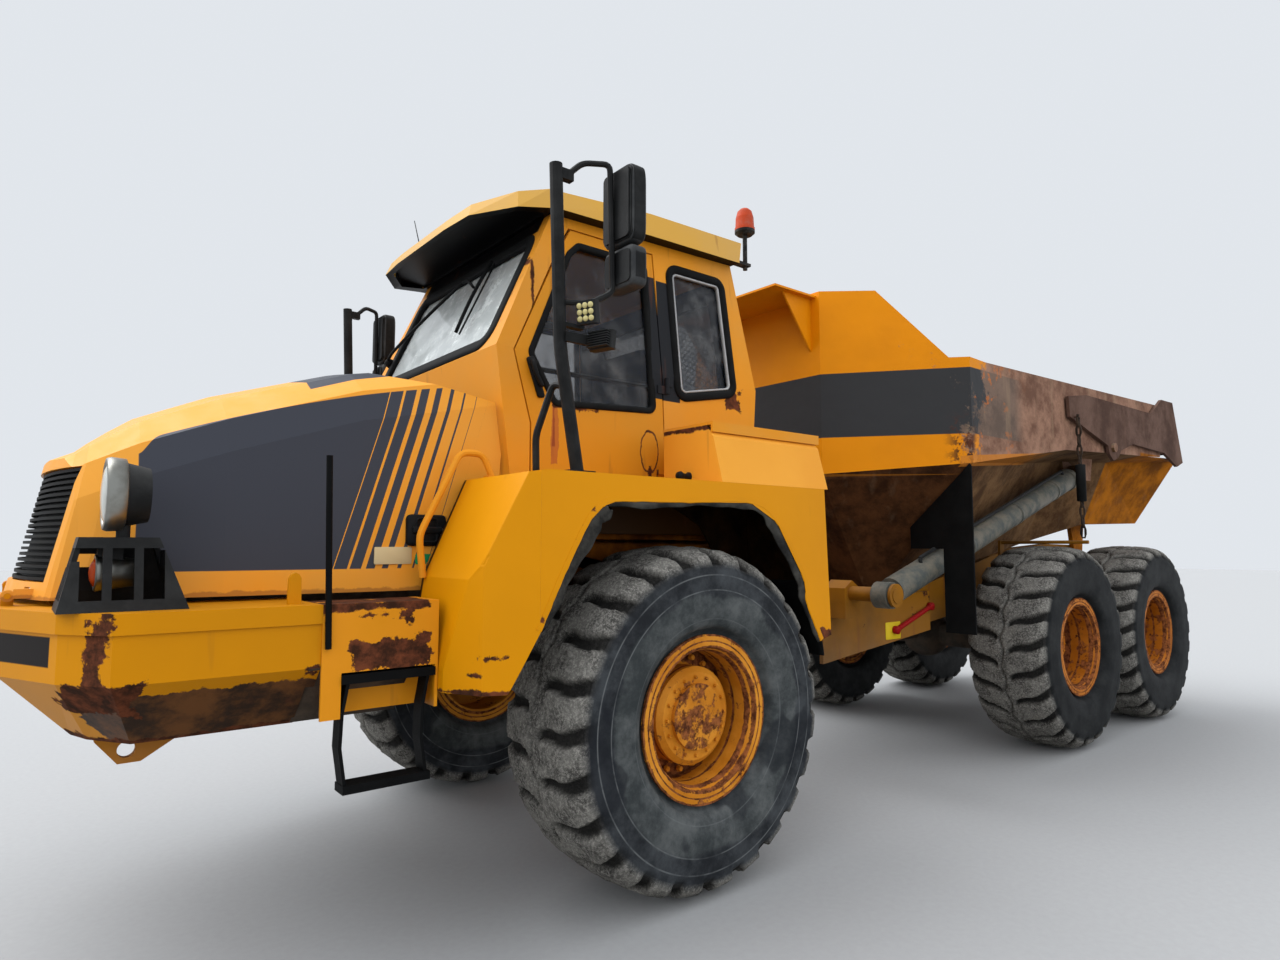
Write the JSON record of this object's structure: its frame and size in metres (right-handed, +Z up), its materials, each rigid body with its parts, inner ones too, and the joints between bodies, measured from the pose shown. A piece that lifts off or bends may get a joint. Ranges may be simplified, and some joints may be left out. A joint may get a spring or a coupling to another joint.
{
  "type": "articulated dump truck",
  "caption": "Articulated dump truck with a hinged front unit, a rolling turning ring, a rear tipping body with a chain-held tailgate, and a tilting bonnet.",
  "frame": {"origin": "on the ground below the middle of the truck's length and width", "axes": "+X forward, +Y to the operator's left, +Z up"},
  "size_m": [9.175, 2.996, 3.66],
  "materials": {
    "yellow_paint": "worn satin paint, scraped to rust at the edges",
    "amber_paint": "worn satin paint",
    "rusty_steel": "brown rusted steel with rests of paint",
    "black_parts": "dusty matt black",
    "rubber_parts": "dusty black rubber",
    "tyre_rubber": "worn, dusty tyre rubber",
    "window_glass": "dark dusty glass",
    "beacon_lens": "faded orange lens",
    "grey_steel": "dusty grey-green steel"
  },
  "bodies": {
    "front_unit": {"front_frame": "yellow_paint", "engine": "grey_steel", "front_axle": "rusty_steel", "bumper": "yellow_paint", "side_panels": "yellow_paint", "fenders": "yellow_paint", "storage_boxes": "yellow_paint", "cab_shell": "amber_paint", "cab_roof": "yellow_paint", "cab_glass": "window_glass", "cab_interior": "black_parts", "beacon": "beacon_lens", "mirror_masts": "black_parts", "front_lamps": "black_parts", "grab_rails": "amber_paint", "steps": "rubber_parts"},
    "bonnet": {"bonnet": "amber_paint", "grille": "black_parts"},
    "door": {"door": "amber_paint", "door_glass": "window_glass"},
    "box_lid_left": {"box_lid_left": "amber_paint"},
    "box_lid_right": {"box_lid_right": "amber_paint"},
    "hitch": {"hitch": "yellow_paint"},
    "rear_unit": {"rear_frame": "yellow_paint", "bogie": "rusty_steel"},
    "dump_body": {"dump_body": "rusty_steel", "mudflaps": "rubber_parts"},
    "tailgate": {"tailgate": "rusty_steel"},
    "tailgate_chains": {"tailgate_chains": "rusty_steel"},
    "tip_barrels": {"tip_barrels": "grey_steel"},
    "tip_rods": {"tip_rods": "grey_steel"},
    "steer_barrel_left": {"steer_barrel_left": "grey_steel"},
    "steer_rod_left": {"steer_rod_left": "grey_steel"},
    "wheel_front_left": {"tyre_front_left": "tyre_rubber", "rim_front_left": "amber_paint"},
    "wheel_middle_left": {"tyre_middle_left": "tyre_rubber", "rim_middle_left": "amber_paint"},
    "wheel_rear_left": {"tyre_rear_left": "tyre_rubber", "rim_rear_left": "amber_paint"},
    "steer_barrel_right": {"steer_barrel_right": "grey_steel"},
    "steer_rod_right": {"steer_rod_right": "grey_steel"},
    "wheel_front_right": {"tyre_front_right": "tyre_rubber", "rim_front_right": "amber_paint"},
    "wheel_middle_right": {"tyre_middle_right": "tyre_rubber", "rim_middle_right": "amber_paint"},
    "wheel_rear_right": {"tyre_rear_right": "tyre_rubber", "rim_rear_right": "amber_paint"}
  },
  "joints": [
    {"name": "ring_roll", "type": "hinge", "parent": "front_unit", "child": "hitch", "pos_m": [1.0925, 0, 0.97], "axis": [1, 0, 0], "continuous": true},
    {"name": "steer", "type": "hinge", "parent": "hitch", "child": "rear_unit", "pos_m": [0.4925, 0, 0.97], "axis": [0, 0, 1], "range_deg": [-45, 45]},
    {"name": "body_tip", "type": "hinge", "parent": "rear_unit", "child": "dump_body", "pos_m": [-4.0575, 0, 1.5], "axis": [0, -1, 0], "range_deg": [0, 70]},
    {"name": "tailgate_swing", "type": "hinge", "parent": "dump_body", "child": "tailgate", "pos_m": [-2.6575, 0, 2.41], "axis": [0, 1, 0], "range_deg": [0, 49.5]},
    {"name": "chain_swing", "type": "hinge", "parent": "tailgate", "child": "tailgate_chains", "pos_m": [-1.9075, 0, 2.5927], "axis": [0, 1, 0], "range_deg": [0, 21.5]},
    {"name": "tip_barrel_pivot", "type": "hinge", "parent": "rear_unit", "child": "tip_barrels", "pos_m": [0.1925, 0, 1.265], "axis": [0, 1, 0], "range_deg": [0, 2.76]},
    {"name": "tip_rod_slide", "type": "slide", "parent": "tip_barrels", "child": "tip_rods", "axis": [-0.9524, 0, 0.3048], "range_m": [0, 1.6542]},
    {"name": "bonnet_tilt", "type": "hinge", "parent": "front_unit", "child": "bonnet", "pos_m": [4.5625, 0, 1.405], "axis": [0, 1, 0], "range_deg": [0, 55]},
    {"name": "door_swing", "type": "hinge", "parent": "front_unit", "child": "door", "pos_m": [1.8315, 0.814, 2.3], "axis": [0, 0, 1], "range_deg": [0, 40]},
    {"name": "box_lid_left_lift", "type": "hinge", "parent": "front_unit", "child": "box_lid_left", "pos_m": [1.5875, 0.938, 2.167], "axis": [1, 0, 0], "range_deg": [0, 80]},
    {"name": "steer_barrel_left_pivot", "type": "hinge", "parent": "rear_unit", "child": "steer_barrel_left", "pos_m": [-0.5075, 0.345, 0.97], "axis": [0, 0, 1], "range_deg": [-8.2, 8.2]},
    {"name": "steer_rod_left_slide", "type": "slide", "parent": "steer_barrel_left", "child": "steer_rod_left", "axis": [1, 0, 0], "range_m": [-0.26, 0.26]},
    {"name": "wheel_front_left_spin", "type": "hinge", "parent": "front_unit", "child": "wheel_front_left", "pos_m": [2.0425, 1.08, 0.79], "axis": [0, 1, 0], "continuous": true},
    {"name": "wheel_middle_left_spin", "type": "hinge", "parent": "rear_unit", "child": "wheel_middle_left", "pos_m": [-2.0275, 1.08, 0.79], "axis": [0, 1, 0], "continuous": true},
    {"name": "wheel_rear_left_spin", "type": "hinge", "parent": "rear_unit", "child": "wheel_rear_left", "pos_m": [-3.7275, 1.08, 0.79], "axis": [0, 1, 0], "continuous": true},
    {"name": "box_lid_right_lift", "type": "hinge", "parent": "front_unit", "child": "box_lid_right", "pos_m": [1.5875, -0.938, 2.167], "axis": [-1, 0, 0], "range_deg": [0, 80]},
    {"name": "steer_barrel_right_pivot", "type": "hinge", "parent": "rear_unit", "child": "steer_barrel_right", "pos_m": [-0.5075, -0.345, 0.97], "axis": [0, 0, 1], "range_deg": [-8.2, 8.2]},
    {"name": "steer_rod_right_slide", "type": "slide", "parent": "steer_barrel_right", "child": "steer_rod_right", "axis": [1, 0, 0], "range_m": [-0.26, 0.26]},
    {"name": "wheel_front_right_spin", "type": "hinge", "parent": "front_unit", "child": "wheel_front_right", "pos_m": [2.0425, -1.08, 0.79], "axis": [0, 1, 0], "continuous": true},
    {"name": "wheel_middle_right_spin", "type": "hinge", "parent": "rear_unit", "child": "wheel_middle_right", "pos_m": [-2.0275, -1.08, 0.79], "axis": [0, 1, 0], "continuous": true},
    {"name": "wheel_rear_right_spin", "type": "hinge", "parent": "rear_unit", "child": "wheel_rear_right", "pos_m": [-3.7275, -1.08, 0.79], "axis": [0, 1, 0], "continuous": true}
  ],
  "couplings": [
    {"joint": "tailgate_swing", "follows": "body_tip", "ratio": 0.7},
    {"joint": "chain_swing", "follows": "body_tip", "ratio": 0.3},
    {"joint": "tip_barrel_pivot", "follows": "body_tip", "ratio": 0.03516},
    {"joint": "tip_rod_slide", "follows": "body_tip", "m_per_rad": 1.3499},
    {"joint": "steer_barrel_left_pivot", "follows": "steer", "ratio": -0.17451},
    {"joint": "steer_rod_left_slide", "follows": "steer", "m_per_rad": 0.32579},
    {"joint": "steer_barrel_right_pivot", "follows": "steer", "ratio": -0.17451},
    {"joint": "steer_rod_right_slide", "follows": "steer", "m_per_rad": -0.32579}
  ]
}
